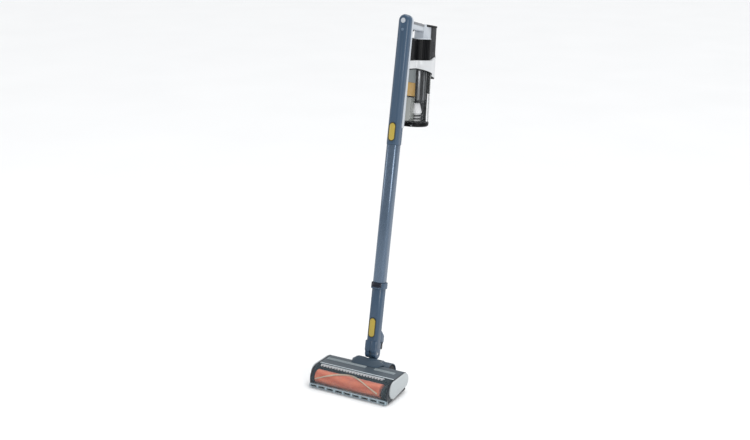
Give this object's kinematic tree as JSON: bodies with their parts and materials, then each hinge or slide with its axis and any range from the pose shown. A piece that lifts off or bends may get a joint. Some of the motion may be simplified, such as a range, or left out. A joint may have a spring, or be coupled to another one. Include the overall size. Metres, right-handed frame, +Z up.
{
  "type": "cordless stick vacuum cleaner",
  "caption": "Cordless upright stick vacuum: wide floor head with a red brush roll behind a clear window, tilting neck, pull-out wand, and hand unit with clear dust cup and battery.",
  "frame": {"origin": "on the floor, at the middle of the flat underside of the glide strip behind the brush", "axes": "+X to the right across the floor head, -Y to the front of the head, +Z up; the stick leans back towards +Y"},
  "size_m": [0.268, 0.5152, 1.0592],
  "materials": {
    "black_plastic": "satin",
    "blue_plastic": "satin",
    "brush_fabric": "matte",
    "clear_plastic": "clear",
    "dark_grey_plastic": "matte",
    "felt": "matte",
    "foam": "matte",
    "gold_plastic": "satin",
    "silver_plastic": "satin",
    "slate_plastic": "satin",
    "smoke_plastic": "clear",
    "steel": "brushed",
    "wand_finish": "gloss",
    "wheel_rubber": "matte",
    "white_plastic": "satin",
    "yellow_plastic": "satin"
  },
  "bodies": {
    "head": {"brush_window": "clear_plastic", "nozzle_top_cover": "slate_plastic", "sole_plate": "black_plastic", "front_bumper": "clear_plastic", "side_plate_left": "black_plastic", "side_plate_right": "black_plastic", "end_cap_left": "silver_plastic", "end_cap_right": "silver_plastic", "brush_chamber_wall": "dark_grey_plastic", "brush_comb": "white_plastic", "brush_bearing_block": "black_plastic", "brush_motor": "steel", "drive_belt": "black_plastic", "glide_strip": "felt", "neck_saddle": "slate_plastic", "rear_axle": "steel"},
    "brush": {"brush_roll": "brush_fabric", "brush_pulley": "dark_grey_plastic", "bristle_strip_1": "white_plastic", "bristle_strip_2": "white_plastic"},
    "pinion": {"motor_pinion": "steel"},
    "wheel_left": {"rear_wheel_left": "wheel_rubber"},
    "wheel_right": {"rear_wheel_right": "wheel_rubber"},
    "turret": {"swivel_turret": "black_plastic", "tilt_pin": "steel"},
    "neck": {"neck_body": "blue_plastic", "neck_collar": "slate_plastic"},
    "lower_button": {"lower_release_button": "yellow_plastic"},
    "wand": {"wand_tube": "wand_finish", "wand_lower_plug": "black_plastic", "wand_upper_plug": "black_plastic"},
    "hand_unit": {"spine_front_cover": "blue_plastic", "spine_rear_shell": "silver_plastic", "socket_rear_cover": "blue_plastic", "round_badge": "silver_plastic", "grip_shell": "silver_plastic", "grip_pad": "dark_grey_plastic", "rear_column": "silver_plastic", "motor_housing": "black_plastic", "body_ring": "white_plastic", "cup_seal": "black_plastic", "motor_bridge": "black_plastic", "upper_duct": "dark_grey_plastic", "fan_motor": "steel", "pre_motor_filter": "foam", "inlet_duct": "smoke_plastic"},
    "fan": {"fan_impeller": "steel"},
    "upper_button": {"upper_release_button": "yellow_plastic"},
    "mode_switch": {"mode_button": "white_plastic"},
    "power_trigger": {"trigger": "dark_grey_plastic"},
    "cup_release": {"cup_release_button": "gold_plastic"},
    "battery": {"battery_pack": "dark_grey_plastic", "battery_cap": "black_plastic"},
    "battery_catch": {"battery_release": "silver_plastic"},
    "cup": {"dust_cup": "clear_plastic", "door_hinge_pin": "steel", "cyclone_shroud": "black_plastic", "cyclone_cone": "white_plastic"},
    "bottom_door": {"cup_door": "black_plastic"},
    "door_catch": {"door_latch": "black_plastic"}
  },
  "joints": [
    {"name": "brush_spin", "type": "hinge", "parent": "head", "child": "brush", "pos_m": [0, -0.027, 0.0257], "axis": [1, 0, 0], "continuous": true},
    {"name": "pinion_spin", "type": "hinge", "parent": "head", "child": "pinion", "pos_m": [0.101, 0.033, 0.034], "axis": [1, 0, 0], "continuous": true},
    {"name": "rear_wheel_left_spin", "type": "hinge", "parent": "head", "child": "wheel_left", "pos_m": [-0.0525, 0.0935, 0.025], "axis": [1, 0, 0], "continuous": true},
    {"name": "rear_wheel_right_spin", "type": "hinge", "parent": "head", "child": "wheel_right", "pos_m": [0.0525, 0.0935, 0.025], "axis": [1, 0, 0], "continuous": true},
    {"name": "turret_turn", "type": "hinge", "parent": "head", "child": "turret", "pos_m": [0, 0.08823, 0.05], "axis": [0, 0, 1], "range_deg": [-40, 40]},
    {"name": "neck_tilt", "type": "hinge", "parent": "turret", "child": "neck", "pos_m": [0, 0.08823, 0.08091], "axis": [-1, 0, 0], "range_deg": [0, 66]},
    {"name": "lower_release_press", "type": "slide", "parent": "neck", "child": "lower_button", "axis": [0, 0.9795, -0.2012], "range_m": [0, 0.003], "stiffness_N_per_m": 300},
    {"name": "wand_pull", "type": "slide", "parent": "neck", "child": "wand", "axis": [0, 0.2012, 0.9795], "range_m": [0, 0.045]},
    {"name": "hand_unit_pull", "type": "slide", "parent": "wand", "child": "hand_unit", "axis": [0, 0.2012, 0.9795], "range_m": [0, 0.045]},
    {"name": "upper_release_press", "type": "slide", "parent": "hand_unit", "child": "upper_button", "axis": [0, 0.9795, -0.2012], "range_m": [0, 0.003], "stiffness_N_per_m": 300},
    {"name": "mode_press", "type": "slide", "parent": "hand_unit", "child": "mode_switch", "axis": [0, 0.9795, -0.2012], "range_m": [0, 0.001], "stiffness_N_per_m": 500},
    {"name": "trigger_pull", "type": "slide", "parent": "hand_unit", "child": "power_trigger", "axis": [0, 0.2012, 0.9795], "range_m": [0, 0.004], "stiffness_N_per_m": 300},
    {"name": "fan_spin", "type": "hinge", "parent": "hand_unit", "child": "fan", "pos_m": [0, 0.36406, 0.96759], "axis": [0, 0.0925, 0.9957], "continuous": true},
    {"name": "battery_lift", "type": "slide", "parent": "hand_unit", "child": "battery", "axis": [0, 0.0925, 0.9957], "range_m": [0, 0.09]},
    {"name": "battery_release_press", "type": "slide", "parent": "battery", "child": "battery_catch", "axis": [0, -0.9957, 0.0925], "range_m": [0, 0.002], "stiffness_N_per_m": 300},
    {"name": "cup_release_press", "type": "slide", "parent": "hand_unit", "child": "cup_release", "axis": [0, -0.2012, -0.9795], "range_m": [0, 0.003], "stiffness_N_per_m": 300},
    {"name": "cup_drop", "type": "slide", "parent": "hand_unit", "child": "cup", "axis": [0, -0.0925, -0.9957], "range_m": [0, 0.12]},
    {"name": "cup_door_hinge", "type": "hinge", "parent": "cup", "child": "bottom_door", "pos_m": [0, 0.29425, 0.73304], "axis": [-1, 0, 0], "range_deg": [0, 90]},
    {"name": "door_latch_slide", "type": "slide", "parent": "cup", "child": "door_catch", "axis": [0, 0.0925, 0.9957], "range_m": [0, 0.003], "stiffness_N_per_m": 300}
  ],
  "couplings": [
    {"joint": "pinion_spin", "follows": "brush_spin", "ratio": 2.8}
  ]
}
